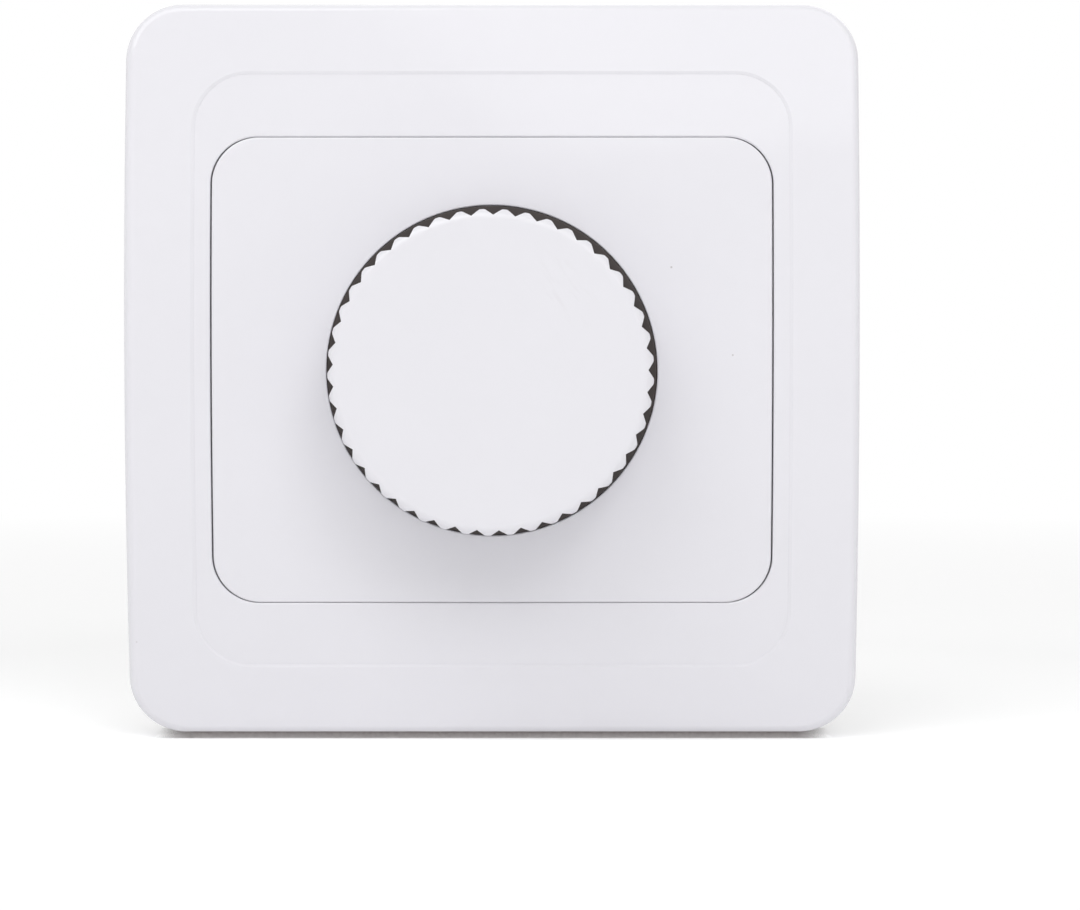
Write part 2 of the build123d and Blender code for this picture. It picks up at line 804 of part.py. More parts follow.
def make_triac_nut():
    """Nut on the triac's screw."""
    hole = screw_radius + shaft_fit
    return hex_nut(triac_nut_across, hole, tab_front, tab_front + triac_nut_thick, triac_x, tab_screw_y)


def make_choke_core():
    """Ferrite bobbin."""
    low = board_rear - choke_height
    core = disc(choke_core_radius, low, board_rear, choke_x, choke_lift)
    core += disc(choke_radius, low, low + choke_flange, choke_x, choke_lift)
    return core + disc(choke_radius, board_rear - choke_flange, board_rear, choke_x, choke_lift)


def make_choke_winding():
    """Copper winding between the bobbin's flanges."""
    low = board_rear - choke_height + choke_flange + winding_gap
    high = board_rear - choke_flange - winding_gap
    outer = choke_radius - winding_inset
    return ring(outer, choke_core_radius + winding_gap, low, high, choke_x, choke_lift)


def make_capacitor():
    """Boxed film capacitor at the right end of the upper row."""
    x = row_half - capacitor_width / 2
    box = slab(capacitor_width, capacitor_height, board_rear - capacitor_depth, board_rear, x, row_y)
    return fillet(box.edges().filter_by(Axis.Z) + box.faces().sort_by(Axis.Z)[0].edges(), capacitor_edge)


def axial_component(radius, length):
    """A small round component that lies along x behind z = 0, with its two leads bent to z = 0."""
    lying = Pos(0, 0, -radius) * Rot(0, 90, 0)
    body = lying * Cylinder(radius, length)
    body = fillet(body.edges().filter_by(GeomType.CIRCLE), axial_round)
    span = length + 2 * lead_reach
    body += lying * Cylinder(lead_radius, span)
    for end in (-1, 1):
        body += disc(lead_radius, -radius, 0, end * (span / 2 - lead_radius))
    return body


def make_resistors():
    """Axial resistors side by side, from the left end of the upper row."""
    first_x = -row_half + resistor_radius
    resistor = Rot(0, 0, 90) * axial_component(resistor_radius, resistor_length)
    places = [first_x + index * resistor_pitch for index in range(resistor_count)]
    return group([Pos(x, row_y, board_rear) * resistor for x in places])


def make_diac():
    """Small trigger diode below the choke."""
    return Pos(choke_x, diac_y, board_rear) * axial_component(diac_radius, diac_length)


def make_fuse():
    """Fuse with a cap at each end."""
    fuse = Cylinder(fuse_radius - fuse_neck, fuse_length)
    for end in (-1, 1):
        fuse += Pos(0, 0, end * (fuse_length - fuse_cap) / 2) * Cylinder(fuse_radius, fuse_cap)
    return Pos(0, fuse_y, fuse_z) * Rot(0, 90, 0) * fuse


def make_fuse_clips():
    """Sprung clips that hold the fuse's caps to the board."""
    inner = fuse_radius + clip_gap
    outer = inner + clip_thick
    foot_low = fuse_z + inner + clip_thick / 2
    loop = Cylinder(outer, clip_width) - Cylinder(inner, clip_width)
    loop -= Pos(outer, 0, 0) * Box(outer, clip_mouth, clip_width)
    clips = []
    for end in (-1, 1):
        clip_x = end * (fuse_length - fuse_cap) / 2
        clip = Pos(clip_x, fuse_y, fuse_z) * Rot(0, 90, 0) * loop
        clips.append(clip + slab(clip_width, clip_mouth / 2, foot_low, board_rear, clip_x, fuse_y))
    return group(clips)


def make_terminal_clamps():
    """Brass clamps, each with a wire hole from behind and a pin into the board."""
    clamps = []
    for x in clamp_places():
        clamp = slab(clamp_width, clamp_height, clamp_rear, clamp_front, x, clamp_y)
        clamp -= disc(wire_hole, clamp_rear, clamp_front - clamp_end, x, clamp_y)
        shank = Cylinder(terminal_shank_radius + shaft_fit, clamp_height / 2, align=FROM_BASE)
        clamp -= Pos(x, clamp_y, clamp_middle) * Rot(90, 0, 0) * shank
        clamps.append(clamp + slab(pin_width, pin_thick, clamp_front, board_front + pin_tail, x, clamp_y))
    return group(clamps)


def make_terminal_screws():
    """Screws of the terminals, reached through the lower wall of the casing."""
    length = clamp_height / 2 - wire_hole
    screw = slotted_screw(
        terminal_head_radius, terminal_head_height, terminal_head_round, terminal_shank_radius, length
    )
    seat_y = clamp_y - clamp_height / 2
    return group([Pos(x, seat_y, clamp_middle) * Rot(90, 0, 0) * screw for x in clamp_places()])


pieces = {
    "frame": make_frame(),
    "centre_plate": make_centre_plate(),
    "knob_collar": make_knob_collar(),
    "knob": make_knob(),
    "knob_spring": make_knob_spring(),
    "plate_nut": hex_nut(plate_nut_across, bush_radius + shaft_fit, dish_front, plate_nut_top),
    "bridge": make_bridge(),
    "claw_right": make_claw(),
    "claw_left": mirror(make_claw(), about=Plane.YZ),
    "claw_screw_right": make_claw_screw(),
    "claw_screw_left": mirror(make_claw_screw(), about=Plane.YZ),
    "pot_shaft": make_pot_shaft(),
    "pot_bush": make_pot_bush(),
    "pot_washer": ring(washer_radius, bush_radius + shaft_fit, bridge_thick, washer_top),
    "pot_nut": hex_nut(pot_nut_across, bush_radius + shaft_fit, washer_top, pot_nut_top),
    "pot_wafer": make_pot_wafer(),
    "pot_case": make_pot_case(),
    "wiper_carrier": make_wiper_carrier(),
    "wiper_contact": make_wiper_contact(),
    "switch_block": make_switch_block(),
    "pot_terminals": make_pot_terminals(),
    "base_housing": make_base_housing(),
    "housing_screws": make_housing_screws(),
    "circuit_board": make_circuit_board(),
    "triac": make_triac(),
    "heat_sink": make_heat_sink(),
    "triac_screw": make_triac_screw(),
    "triac_nut": make_triac_nut(),
    "choke_core": make_choke_core(),
    "choke_winding": make_choke_winding(),
    "capacitor": make_capacitor(),
    "resistors": make_resistors(),
    "diac": make_diac(),
    "fuse": make_fuse(),
    "fuse_clips": make_fuse_clips(),
    "terminal_clamps": make_terminal_clamps(),
    "terminal_screws": make_terminal_screws(),
}

os.makedirs("parts", exist_ok=True)
for name, piece in pieces.items():
    export_step(Plane.XZ * piece, f"parts/{name}.step")
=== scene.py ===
import json
from math import radians

import bmesh
import bpy
import numpy as np
from mathutils import Matrix, Vector

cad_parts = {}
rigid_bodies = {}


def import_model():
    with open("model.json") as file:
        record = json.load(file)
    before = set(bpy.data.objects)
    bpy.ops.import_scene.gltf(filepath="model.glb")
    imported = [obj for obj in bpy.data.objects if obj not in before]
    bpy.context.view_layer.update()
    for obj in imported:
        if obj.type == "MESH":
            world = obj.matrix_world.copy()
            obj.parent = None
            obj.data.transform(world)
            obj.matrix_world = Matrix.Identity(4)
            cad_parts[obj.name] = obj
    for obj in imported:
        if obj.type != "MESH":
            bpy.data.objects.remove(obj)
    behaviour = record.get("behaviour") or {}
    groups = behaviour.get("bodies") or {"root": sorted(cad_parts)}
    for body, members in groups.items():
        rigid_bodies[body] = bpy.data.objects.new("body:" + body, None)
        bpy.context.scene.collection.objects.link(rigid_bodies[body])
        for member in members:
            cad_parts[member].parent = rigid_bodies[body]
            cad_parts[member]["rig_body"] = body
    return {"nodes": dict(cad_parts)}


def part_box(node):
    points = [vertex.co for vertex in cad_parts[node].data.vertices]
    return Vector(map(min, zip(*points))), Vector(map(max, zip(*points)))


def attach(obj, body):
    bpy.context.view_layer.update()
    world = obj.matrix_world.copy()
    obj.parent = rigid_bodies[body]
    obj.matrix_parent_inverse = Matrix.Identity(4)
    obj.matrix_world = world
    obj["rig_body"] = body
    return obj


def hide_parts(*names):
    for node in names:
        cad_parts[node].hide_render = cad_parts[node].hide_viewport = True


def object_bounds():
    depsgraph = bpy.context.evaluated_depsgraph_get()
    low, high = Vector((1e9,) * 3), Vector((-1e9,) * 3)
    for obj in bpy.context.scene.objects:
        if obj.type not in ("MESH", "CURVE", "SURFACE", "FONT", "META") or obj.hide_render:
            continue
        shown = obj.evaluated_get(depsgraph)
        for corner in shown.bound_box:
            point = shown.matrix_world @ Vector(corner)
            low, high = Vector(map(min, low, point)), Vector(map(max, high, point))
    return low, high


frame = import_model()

# The box of the solids, before anything is added
cad_low, cad_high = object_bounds()
half_width = (cad_high.x - cad_low.x) / 2

MM = 0.001
white = (1.0, 1.0, 1.0, 1.0)
black = (0.0, 0.0, 0.0, 1.0)

# The photograph's view: a long lens a little above the knob and to its right
camera_place = Vector((5.35, -384.3, 8.13)) * MM
camera_pitch = radians(2.67)
lens_length = 112.4
sensor_width = 36.0

# Studio light: a soft box in front at each side, the right one brighter in its middle, and one behind
box_distance = 0.9
box_size = (0.68, 0.6)
middle_size = (0.34, 0.34)
right_azimuth = radians(21.0)
right_elevation = radians(39.0)
right_power = 1.12
middle_power = 1.16
left_azimuth = radians(-36.0)
left_elevation = radians(50.0)
left_power = 2.65
rear_azimuth = radians(160.0)
rear_elevation = radians(42.0)
rear_power = 0.85

# Light that the white room gives the object
room_light = 0.535

# Floor: its paper, its glow near the object and further off, and where it turns plain white. The glow is seen
# only by the camera and is stronger near the object: painted light that lifts the shade beside the base
floor_size = 12.0
paper_tones = (0.945, 0.945, 0.945), (0.965, 0.965, 0.965)
paper_roughness = 0.9
fibre_scale = 900.0
floor_glow = 0.22
glow_reach = (0.05, 0.115)
far_glow = 0.38
shadow_reach = 0.18
white_reach = 0.4

# The thin strip that the frame stands on, and how far in from the frame's sides it ends and fades away. Its
# card is grey as painted shade under the frame, darker up by the frame and paler towards the floor
strip_inset = 2.5 * MM
fade_insets = (7.5 * MM, 2.8 * MM)
strip_size = Vector((2 * (half_width - strip_inset), 3.0 * MM, 0.8 * MM))
strip_fade = [half_width - inset for inset in fade_insets]
strip_rear = -0.3 * MM
# Card tones, pale then dark: painted shade, darker by the frame above and paler at the floor, with its edge
# roughened by a noise
shade_card_tones = (0.60, 0.57, 0.565), (0.25, 0.222, 0.216)
card_roughness = 0.85
shade_edge_scale = 2500.0

# Threads and windings, in millimetres: outer radius, height of the ridge, rise for each turn and clear ends
machine_thread = dict(crest=1.5, ridge=0.2, pitch=0.5, clear=0.6)
bush_thread = dict(crest=5.0, ridge=0.28, pitch=0.75, clear=0.6)
wire_turns = dict(crest=5.1, ridge=0.25, pitch=0.5, clear=0.25, rounded=True)
screw_head = 1.9
bush_flange = 1.2
steps_per_turn = 40
wire_sides = 12
thread_sides = 4
shank_share = 0.7
touch = 0.01
facet_slack = 0.05
merge_reach = 0.001
crisp_angle = radians(32.0)
rounding_digits = 2

# White plastic: its tones, dust specks, hairlines, and marks that fingers have left on the knob's face
white_tones = (0.765, 0.757, 0.795), (0.785, 0.777, 0.815)
grime = (0.30, 0.26, 0.24)
speck_size = (0.012, 0.022)
speck_cover = 0.5
hairline_scale = (260.0, 900.0, 2600.0)
hairline_range = (0.70, 0.76)
hairline_dulling = 0.05
mark_place = Vector((8.6 * MM, cad_low.y, 9.4 * MM))
mark_reach = 5.5 * MM
mark_slant = radians(-53.0)
mark_scale = (260.0, 40.0, 1500.0)
mark_range = (0.56, 0.72)
mark_cover = 0.07
mark_dulling = 0.10

# Other finishes by material slot: two tones, roughness, and the stretch of drawn lines or of a weave
drawn_along_x = (300.0, 9000.0, 9000.0)
drawn_along_y = (9000.0, 300.0, 9000.0)
dull_range = (0.52, 0.68)
dull_patch = 0.10
weave_stretch = 0.25
mouldings = {
    "collar_plastic": dict(low=(0.031, 0.0225, 0.0205), high=(0.037, 0.027, 0.025), gloss=0.42),
    "casing_plastic": dict(low=(0.022, 0.022, 0.024), high=(0.030, 0.030, 0.032), gloss=0.46),
    "black_plastic": dict(low=(0.006, 0.006, 0.007), high=(0.010, 0.010, 0.011), gloss=0.40),
    "ferrite": dict(low=(0.016, 0.014, 0.014), high=(0.024, 0.021, 0.021), gloss=0.55),
    "capacitor_case": dict(low=(0.50, 0.31, 0.018), high=(0.55, 0.35, 0.022), gloss=0.30),
}
metals = {
    "zinc_steel": dict(low=(0.47, 0.47, 0.46), high=(0.60, 0.60, 0.58), gloss=0.34, brush=drawn_along_x),
    "screw_steel": dict(low=(0.50, 0.50, 0.49), high=(0.60, 0.59, 0.57), gloss=0.28, brush=drawn_along_y),
    "nickel_brass": dict(low=(0.52, 0.48, 0.40), high=(0.60, 0.56, 0.47), gloss=0.25, brush=drawn_along_y),
    "shaft_metal": dict(low=(0.55, 0.55, 0.56), high=(0.63, 0.63, 0.65), gloss=0.26, brush=drawn_along_x),
    "terminal_brass": dict(low=(0.56, 0.36, 0.08), high=(0.66, 0.43, 0.11), gloss=0.30, brush=drawn_along_y),
    "terminal_screw_steel": dict(
        low=(0.50, 0.49, 0.45), high=(0.60, 0.58, 0.53), gloss=0.30, brush=drawn_along_x
    ),
    "aluminium": dict(low=(0.58, 0.59, 0.60), high=(0.66, 0.67, 0.69), gloss=0.36, brush=drawn_along_x),
    "copper_wire": dict(low=(0.42, 0.11, 0.035), high=(0.52, 0.15, 0.05), gloss=0.22, brush=drawn_along_x),
}
laminates = {
    "wafer_laminate": dict(low=(0.13, 0.05, 0.014), high=(0.17, 0.07, 0.020), gloss=0.45, weave=2600.0),
    "board_laminate": dict(low=(0.010, 0.062, 0.020), high=(0.014, 0.090, 0.028), gloss=0.30, weave=1500.0),
}

# Components with metal ends, in millimetres: length of an end, and each band's place, width and colour
tin = (0.56, 0.55, 0.53)
nickel = (0.60, 0.57, 0.51)
lead_reach = 1.2
fuse_cap = 5.0
body_shade = 0.9
resistor_bands = (
    (1.15, 0.55, (0.10, 0.03, 0.012)),
    (2.25, 0.55, (0.006, 0.006, 0.006)),
    (3.35, 0.55, (0.60, 0.14, 0.01)),
    (5.15, 0.55, (0.42, 0.27, 0.05)),
)
diac_bands = ((3.4, 0.5, (0.006, 0.006, 0.007)),)
components = {
    "resistor_body": dict(
        node="resistors", axis="Z", end=lead_reach, body=(0.37, 0.25, 0.12), metal=tin, bands=resistor_bands
    ),
    "diac_body": dict(
        node="diac", axis="X", end=lead_reach, body=(0.10, 0.17, 0.33), metal=tin, bands=diac_bands
    ),
    "fuse_body": dict(node="fuse", axis="X", end=fuse_cap, body=(0.70, 0.68, 0.62), metal=nickel),
}

# Places of the colour sockets on a Mix node
first_colour = 6
second_colour = 7
mixed_colour = 2


class Signal:
    """A socket of a node, with arithmetic that adds Math nodes."""

    def __init__(self, tree, socket):
        self.tree = tree
        self.socket = socket

    def maths(self, operation, first, second=0.0):
        node = self.tree.nodes.new("ShaderNodeMath")
        node.operation = operation
        for socket, value in zip(node.inputs, (first, second)):
            plug(self.tree, socket, value)
        return Signal(self.tree, node.outputs[0])

    def __add__(self, other):
        return self.maths("ADD", self, other)

    def __sub__(self, other):
        return self.maths("SUBTRACT", self, other)

    def __rsub__(self, other):
        return self.maths("SUBTRACT", other, self)

    def __mul__(self, other):
        return self.maths("MULTIPLY", self, other)

    def __abs__(self):
        return self.maths("ABSOLUTE", self)

    __radd__ = __add__
    __rmul__ = __mul__


def plug(tree, socket, value):
    """Set a socket to a value, or link a signal to it."""
    if isinstance(value, Signal):
        tree.links.new(value.socket, socket)
    else:
        socket.default_value = value


class Nodes:
    """A node tree, with the nodes that the finishes and the wound pieces need."""

    def __init__(self, tree):
        self.tree = tree
        tree.nodes.clear()

    def node(self, kind, settings=None, sockets=None, output=0):
        """Add a node, with its settings first and then the values or links of its sockets."""
        node = self.tree.nodes.new(kind)
        for name, value in (settings or {}).items():
            setattr(node, name, value)
        for name, value in (sockets or {}).items():
            for item in value if isinstance(value, list) else [value]:
                plug(self.tree, node.inputs[name], item)
        if output is not None:
            return Signal(self.tree, node.outputs[output])

    def place(self):
        """The point on the piece, in metres."""
        return self.node("ShaderNodeTexCoord", output="Object")

    def along(self, axis):
        """The point's distance along an axis, in metres."""
        return self.node("ShaderNodeSeparateXYZ", {}, {"Vector": self.place()}, axis)

    def stretched(self, scale, turn=(0.0, 0.0, 0.0)):
        """The point on the piece, turned and then scaled along each axis."""
        turned = self.node("ShaderNodeMapping", {}, {"Vector": self.place(), "Rotation": turn}, "Vector")
        return self.node("ShaderNodeMapping", {}, {"Vector": turned, "Scale": scale}, "Vector")

    def distance(self, point):
        """Distance from a point on the piece."""
        sockets = {0: self.place(), 1: point}
        return self.node("ShaderNodeVectorMath", {"operation": "DISTANCE"}, sockets, "Value")

    def noise(self, scale=1.0, detail=2.0, roughness=0.5, place=None):
        """Soft noise from 0 to 1."""
        sockets = {
            "Vector": place or self.place(), "Scale": scale, "Detail": detail, "Roughness": roughness,
        }
        return self.node("ShaderNodeTexNoise", {}, sockets, "Fac")

    def cells(self, scale):
        """Distance to the nearest of many scattered points."""
        return self.node("ShaderNodeTexVoronoi", {}, {"Vector": self.place(), "Scale": scale}, "Distance")

    def span(self, signal, low, high, low_out=0.0, high_out=1.0):
        """Carry a range of a signal to another range, without overshoot."""
        sockets = {
            "Value": signal, "From Min": low, "From Max": high, "To Min": low_out, "To Max": high_out,
        }
        return self.node("ShaderNodeMapRange", {"clamp": True}, sockets, "Result")

    def fall(self, signal, low, high):
        """1 below a range of a signal, 0 above it, and falling between."""
        return self.span(signal, low, high, 1.0, 0.0)

    def around(self, noise, level, swing, low=0.3, high=0.7):
        """A level that swings both ways with a noise."""
        return self.span(noise, low, high, level - swing, level + swing)

    def mix(self, factor, first, second):
        """Blend two colours."""
        sockets = {"Factor": factor, first_colour: first, second_colour: second}
        return self.node("ShaderNodeMix", {"data_type": "RGBA"}, sockets, mixed_colour)

    def blend(self, factor, first, second):
        """Mix two surfaces."""
        return self.node("ShaderNodeMixShader", {}, {0: factor, 1: first, 2: second})

    def surface(self, surface, kind="ShaderNodeOutputMaterial"):
        """Make this the surface of the material or the world."""
        self.node(kind, {}, {"Surface": surface}, None)

    def bump(self, height, strength, distance):
        """A surface normal from a height in the range 0 to 1."""
        sockets = {"Height": height, "Strength": strength, "Distance": distance}
        return self.node("ShaderNodeBump", {}, sockets, "Normal")


def opaque(red, green, blue):
    """A colour with full cover."""
    return (red, green, blue, 1.0)


def new_finish(name, make, metallic=0.0):
    """A material whose principled sockets come from a function."""
    material = bpy.data.materials.new(f"{name}_finish")
    material.use_nodes = True
    shader = Nodes(material.node_tree)
    sockets = {"Metallic": metallic, **make(shader)}
    shader.surface(shader.node("ShaderNodeBsdfPrincipled", {}, sockets))
    return material


def white_moulding(shader):
    """Glossy white plastic with faint clouding, a trace of orange peel, dust, hairlines and finger marks."""
    cloud = shader.noise(scale=45.0, detail=3.0)
    clean = shader.mix(cloud, *(opaque(*tone) for tone in white_tones))
    speck = shader.fall(shader.cells(scale=150.0), *speck_size)
    near = shader.fall(shader.distance(mark_place), 0.0, mark_reach)
    stroke = shader.noise(place=shader.stretched(mark_scale, turn=(0.0, mark_slant, 0.0)))
    mark = near * shader.span(stroke, *mark_range)
    worn = shader.mix(speck * speck_cover + mark * mark_cover, clean, opaque(*grime))
    hairline = shader.noise(detail=1.0, place=shader.stretched(hairline_scale))
    scuff = shader.span(hairline, *hairline_range)
    gloss = shader.around(shader.noise(scale=90.0, detail=3.0), level=0.095, swing=0.015)
    return {
        "Base Color": worn,
        "Roughness": gloss + hairline_dulling * scuff + mark_dulling * mark,
        "Normal": shader.bump(shader.noise(scale=420.0), strength=0.05, distance=0.05 * MM),
    }


def dark_moulding(low, high, gloss):
    """Moulded plastic with a fine matt grain."""
    def make(shader):
        cloud = shader.noise(scale=120.0, detail=4.0)
        grain = shader.noise(scale=5200.0)
        return {
            "Base Color": shader.mix(cloud, opaque(*low), opaque(*high)),
            "Roughness": shader.around(grain, level=gloss, swing=0.06),
            "Normal": shader.bump(grain, strength=0.25, distance=0.02 * MM),
        }
    return make


def plated(low, high, gloss, brush):
    """Plated or bare metal: cloudy tone, drawn lines along one direction and a few dull patches."""
    def make(shader):
        cloud = shader.noise(scale=220.0, detail=4.0, roughness=0.6)
        lines = shader.noise(roughness=0.6, place=shader.stretched(brush))
        dull = shader.span(shader.noise(scale=140.0, detail=3.0), *dull_range)
        rough = shader.around(lines, level=gloss, swing=0.07, low=0.25, high=0.75)
        return {
            "Base Color": shader.mix(cloud, opaque(*low), opaque(*high)),
            "Roughness": rough + dull_patch * dull,
            "Normal": shader.bump(lines, strength=0.12, distance=0.02 * MM),
        }
    return make


def laminate(low, high, gloss, weave):
    """Laminate: a fine woven grain under lacquer."""
    def make(shader):
        threads = shader.noise(place=shader.stretched((weave, weave, weave * weave_stretch)))
        return {
            "Base Color": shader.mix(threads, opaque(*low), opaque(*high)),
            "Roughness": shader.around(threads, level=gloss, swing=0.05),
            "Normal": shader.bump(threads, strength=0.15, distance=0.02 * MM),
        }
    return make


def with_metal_ends(node, axis, end, body, metal, bands=()):
    """A body with painted bands along an axis of its node's box, and bare metal at both ends."""
    def make(shader):
        low, high = (getattr(corner, axis.lower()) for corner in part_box(node))
        low += end * MM
        high -= end * MM
        along = shader.along(axis)
        cloud = shader.noise(scale=120.0, detail=4.0)
        colour = shader.mix(cloud, opaque(*body), opaque(*(body_shade * value for value in body)))
        for middle, width, paint in bands:
            edge = width * MM / 2
            band = shader.fall(abs(along - (low + middle * MM)), edge, edge + touch * MM)
            colour = shader.mix(band, colour, opaque(*paint))
        half = (high - low) / 2
        beyond = shader.span(abs(along - (low + half)), half, half + touch * MM)
        return {
            "Base Color": shader.mix(beyond, colour, opaque(*metal)),
            "Metallic": beyond,
            "Roughness": shader.around(shader.noise(scale=900.0, detail=3.0), level=0.29, swing=0.05),
        }
    return make


def all_finishes():
    """The finish of every material slot."""
    made = {"white_plastic": new_finish("white_plastic", white_moulding)}
    for name, look in mouldings.items():
        made[name] = new_finish(name, dark_moulding(**look))
    for name, look in metals.items():
        made[name] = new_finish(name, plated(**look), metallic=1.0)
    for name, look in laminates.items():
        made[name] = new_finish(name, laminate(**look))
    for name, look in components.items():
        made[name] = new_finish(name, with_metal_ends(**look))
    return made


def dress_solids(finishes):
    """Give every solid the finish of its material slot."""
    for node in frame["nodes"].values():
        for slot in node.material_slots:
            slot.material = finishes[slot.material.name]


def ridge_tree():
    """A tree that winds a right-hand ridge round a piece along the Y axis: a sharp thread or round wire."""
    group = bpy.data.node_groups.new("wound_ridge", "GeometryNodeTree")
    sockets = {
        "Piece": "Geometry", "Start": "Vector", "Radius": "Float", "Ridge": "Float", "Length": "Float",
        "Turns": "Float", "Steps": "Int", "Sides": "Int", "Rounded": "Bool", "Finish": "Material",
    }
    for name, kind in sockets.items():
        group.interface.new_socket(name, in_out="INPUT", socket_type=f"NodeSocket{kind}")
    group.interface.new_socket("Piece", in_out="OUTPUT", socket_type="NodeSocketGeometry")
    nodes = Nodes(group)
    given = {name: nodes.node("NodeGroupInput", output=name) for name in sockets}
    helix = nodes.node("GeometryNodeCurveSpiral", {}, {
        "Resolution": given["Steps"], "Rotations": given["Turns"], "Height": given["Length"],
        "Start Radius": given["Radius"], "End Radius": given["Radius"], "Reverse": True,
    })
    upright = nodes.node("GeometryNodeSetCurveNormal", {"mode": "Z_UP"}, {"Curve": helix})
    section = nodes.node("GeometryNodeCurvePrimitiveCircle", {"mode": "RADIUS"}, {
        "Resolution": given["Sides"], "Radius": given["Ridge"],
    })
    ridge = nodes.node("GeometryNodeCurveToMesh", {}, {
        "Curve": upright, "Profile Curve": section, "Fill Caps": True,
    })
    shaded = nodes.node("GeometryNodeSetShadeSmooth", {}, {
        "Geometry": ridge, "Shade Smooth": given["Rounded"],
    })
    laid = nodes.node("GeometryNodeTransform", {}, {
        "Geometry": shaded, "Translation": given["Start"], "Rotation": (radians(-90.0), 0.0, 0.0),
    })
    joined = nodes.node("GeometryNodeJoinGeometry", {}, {"Geometry": [given["Piece"], laid]})
    whole = nodes.node("GeometryNodeRealizeInstances", {}, {"Geometry": joined})
    dressed = nodes.node("GeometryNodeSetMaterial", {}, {"Geometry": whole, "Material": given["Finish"]})
    nodes.node("NodeGroupOutput", {}, {"Piece": dressed}, None)
    return group


def joined_copy(mesh):
    """A copy of a solid's mesh with its loose triangles joined and its edges crisp, and with no finish."""
    mesh = mesh.copy()
    mesh.materials.clear()
    mesh.attributes.remove(mesh.attributes["custom_normal"])
    shell = bmesh.new()
    shell.from_mesh(mesh)
    bmesh.ops.remove_doubles(shell, verts=shell.verts, dist=merge_reach * MM)
    shell.to_mesh(mesh)
    shell.free()
    mesh.shade_smooth()
    mesh.set_sharp_from_angle(angle=crisp_angle)
    return mesh


def shanks(name, count=1, low_head=0.0, high_head=0.0):
    """Centres of one or two shanks across Y and the two ends of their bare length, from the node's box."""
    low, high = (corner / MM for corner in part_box(name))
    half = (high.x - low.x) / 2
    rows = (low.z + half, high.z - half)
    places = [(round(low.x + half, rounding_digits), round(z, rounding_digits)) for z in rows[:count]]
    return places, round(low.y + low_head, rounding_digits), round(high.y - high_head, rounding_digits)


def drawn_in(mesh, places, crest, core, low, high):
    """Draw the shanks of a mesh in from the crest of a thread to its core."""
    points = np.empty(3 * len(mesh.vertices))
    mesh.vertices.foreach_get("co", points)
    points = points.reshape(-1, 3)
    for x, z in places:
        away = points[:, [0, 2]] - (x * MM, z * MM)
        reach = np.hypot(*away.T) / MM
        along = points[:, 1] / MM
        shank = (reach > shank_share * crest) & (reach < crest + facet_slack)
        shank &= (along > low - touch) & (along < high + touch)
        points[np.ix_(shank, [0, 2])] -= away[shank] * (1.0 - core / crest)
    mesh.vertices.foreach_set("co", points.ravel())
    mesh.update()


def wind(tree, finishes, name, places, low, high, crest, ridge, pitch, clear, rounded=False):
    """Put a thread or a winding on a solid's shanks between two places along Y. In millimetres."""
    node = frame["nodes"][name]
    slot = node.material_slots[0].material.name
    core = crest - ridge
    mesh = joined_copy(node.data)
    drawn_in(mesh, places, crest, core, low, high)
    holder = bpy.data.objects.new("unwound", mesh)
    bpy.context.scene.collection.objects.link(holder)
    length = high - low - 2 * clear
    for x, z in places:
        values = {
            "Start": Vector((x, low + clear, z)) * MM, "Radius": core * MM, "Ridge": ridge * MM,
            "Length": length * MM, "Turns": length / pitch, "Steps": steps_per_turn,
            "Sides": wire_sides if rounded else thread_sides, "Rounded": rounded, "Finish": finishes[slot],
        }
        modifier = holder.modifiers.new("ridge", "NODES")
        modifier.node_group = tree
        for item in tree.interface.items_tree:
            if item.in_out == "INPUT" and item.name in values:
                modifier[item.identifier] = values[item.name]
    evaluated = holder.evaluated_get(bpy.context.evaluated_depsgraph_get())
    wound = bpy.data.meshes.new_from_object(evaluated)
    wound.materials.pop(index=0)
    bpy.data.objects.remove(holder)
    bpy.data.meshes.remove(mesh)
    piece = bpy.data.objects.new(f"{name}_wound", wound)
    bpy.context.scene.collection.objects.link(piece)
    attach(piece, node["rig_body"])
    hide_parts(name)


def wind_pieces(finishes):
    """Threads on the screws and the bush, and turns of wire on the choke. This comes before the dressing."""
    tree = ridge_tree()
    for name, count in (("claw_screw_left", 1), ("claw_screw_right", 1), ("housing_screws", 2)):
        wind(tree, finishes, name, *shanks(name, count, low_head=screw_head), **machine_thread)
    wind(tree, finishes, "triac_screw", *shanks("triac_screw", high_head=screw_head), **machine_thread)
    wind(tree, finishes, "pot_bush", *shanks("pot_bush", high_head=bush_flange), **bush_thread)
    wind(tree, finishes, "choke_winding", *shanks("choke_winding"), **wire_turns)


def camera_rays(shader):
    """1 for what the camera sees directly, in a mirror or through glass, and 0 for what lights the object."""
    kinds = ("Is Camera Ray", "Is Glossy Ray", "Is Transmission Ray")
    seen = sum(shader.node("ShaderNodeLightPath", output=kind) for kind in kinds)
    return shader.span(seen, 0.0, 1.0)


def white_room():
    """A white room: white where it is seen, dimmer where it lights the object."""
    world = bpy.data.worlds.new("white_room")
    bpy.context.scene.world = world
    world.use_nodes = True
    shader = Nodes(world.node_tree)
    fill = shader.node("ShaderNodeBackground", {}, {"Color": white, "Strength": room_light})
    plain = shader.node("ShaderNodeBackground", {}, {"Color": white, "Strength": 1.0})
    shader.surface(shader.blend(camera_rays(shader), fill, plain), "ShaderNodeOutputWorld")


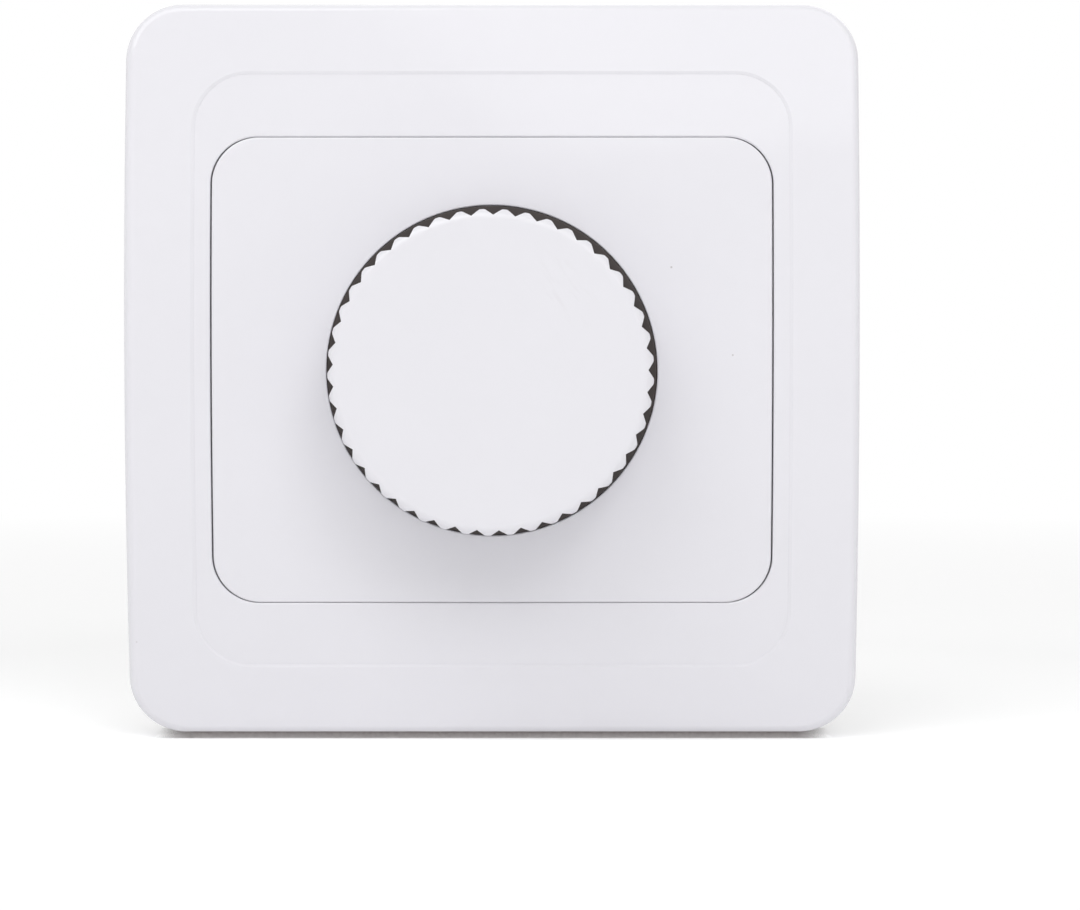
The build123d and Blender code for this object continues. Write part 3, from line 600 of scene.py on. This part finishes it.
def pale_paper():
    """White paper that takes the object's shadow and turns plain white to the camera further away. To the
    camera it glows more near the object, painted light that lifts the shade beside the base.
    """
    material = bpy.data.materials.new("floor_paper")
    material.use_nodes = True
    shader = Nodes(material.node_tree)
    seen = camera_rays(shader)
    away = shader.distance((0.0, 0.0, 0.0))
    # Painted light: the glow is strongest near the base and falls off further out.
    glow = seen * shader.span(away, *glow_reach, 1.0, far_glow)
    fibre = shader.noise(scale=fibre_scale, detail=3.0)
    paper = shader.node("ShaderNodeBsdfPrincipled", {}, {
        "Base Color": shader.mix(fibre, *(opaque(*tone) for tone in paper_tones)),
        "Roughness": paper_roughness,
        "Emission Color": shader.mix(glow, black, white),
        "Emission Strength": floor_glow,
    })
    plain = shader.node("ShaderNodeEmission", {}, {"Color": white, "Strength": 1.0})
    shader.surface(shader.blend(seen * shader.span(away, shadow_reach, white_reach), paper, plain))
    return material


def painted_shade_card(shader):
    """Grey card painted as the shade under the frame: darker up by the frame, paler towards its lower edge,
    and fading away at its two ends as the shade does.
    """
    half = strip_size.z / 2
    height = shader.along("Z")
    # A noise that roughens the edge of the painted shade.
    grain = (shader.noise(scale=shade_edge_scale, detail=3.0) - 0.5) * half
    rise = shader.span(height + grain, -half, half)
    return {
        "Base Color": shader.mix(rise, *(opaque(*tone) for tone in shade_card_tones)),
        "Roughness": card_roughness,
        # The ends fade out as the painted shade tapers under the frame's corners.
        "Alpha": shader.fall(abs(shader.along("X")), *strip_fade),
    }


def lay_floor():
    """A plain floor, and a thin strip of card on it that the frame stands on, grey as painted shade beneath
    the frame.
    """
    level = cad_low.z - strip_size.z
    bpy.ops.mesh.primitive_plane_add(size=floor_size, location=(0.0, 0.0, level))
    floor = bpy.context.object
    floor.name = "floor"
    floor.data.materials.append(pale_paper())
    middle = Vector((0.0, strip_rear, level)) + Vector((0.0, -strip_size.y, strip_size.z)) / 2
    bpy.ops.mesh.primitive_cube_add(size=1.0, location=middle)
    strip = bpy.context.object
    strip.name = "rest_strip"
    strip.data.transform(Matrix.Diagonal((*strip_size, 1.0)))
    strip.data.materials.append(new_finish("shade_strip_card", painted_shade_card))


def soft_box(name, size, azimuth, elevation, power):
    """A rectangular lamp aimed at the knob. Azimuth is from the front towards the right."""
    lamp = bpy.data.lights.new(name, "AREA")
    lamp.shape = "RECTANGLE"
    lamp.size, lamp.size_y = size
    lamp.energy = power
    holder = bpy.data.objects.new(name, lamp)
    bpy.context.scene.collection.objects.link(holder)
    turn = Matrix.Rotation(azimuth, 4, "Z") @ Matrix.Rotation(radians(90.0) - elevation, 4, "X")
    holder.matrix_world = turn @ Matrix.Translation((0.0, 0.0, box_distance))
    holder.visible_camera = False


def light_the_set():
    """Place the lamps."""
    soft_box("right_box", box_size, right_azimuth, right_elevation, right_power)
    soft_box("right_middle", middle_size, right_azimuth, right_elevation, middle_power)
    soft_box("left_box", box_size, left_azimuth, left_elevation, left_power)
    soft_box("rear_box", box_size, rear_azimuth, rear_elevation, rear_power)


def place_camera():
    """A camera at the photograph's angle."""
    camera = bpy.data.cameras.new("camera")
    camera.lens = lens_length
    camera.sensor_width = sensor_width
    holder = bpy.data.objects.new("camera", camera)
    bpy.context.scene.collection.objects.link(holder)
    holder.location = camera_place
    holder.rotation_euler = (radians(90.0) - camera_pitch, 0.0, 0.0)
    bpy.context.scene.camera = holder


slot_finishes = all_finishes()
wind_pieces(slot_finishes)
dress_solids(slot_finishes)
white_room()
lay_floor()
light_the_set()
place_camera()
bpy.context.scene.view_settings.view_transform = "Standard"
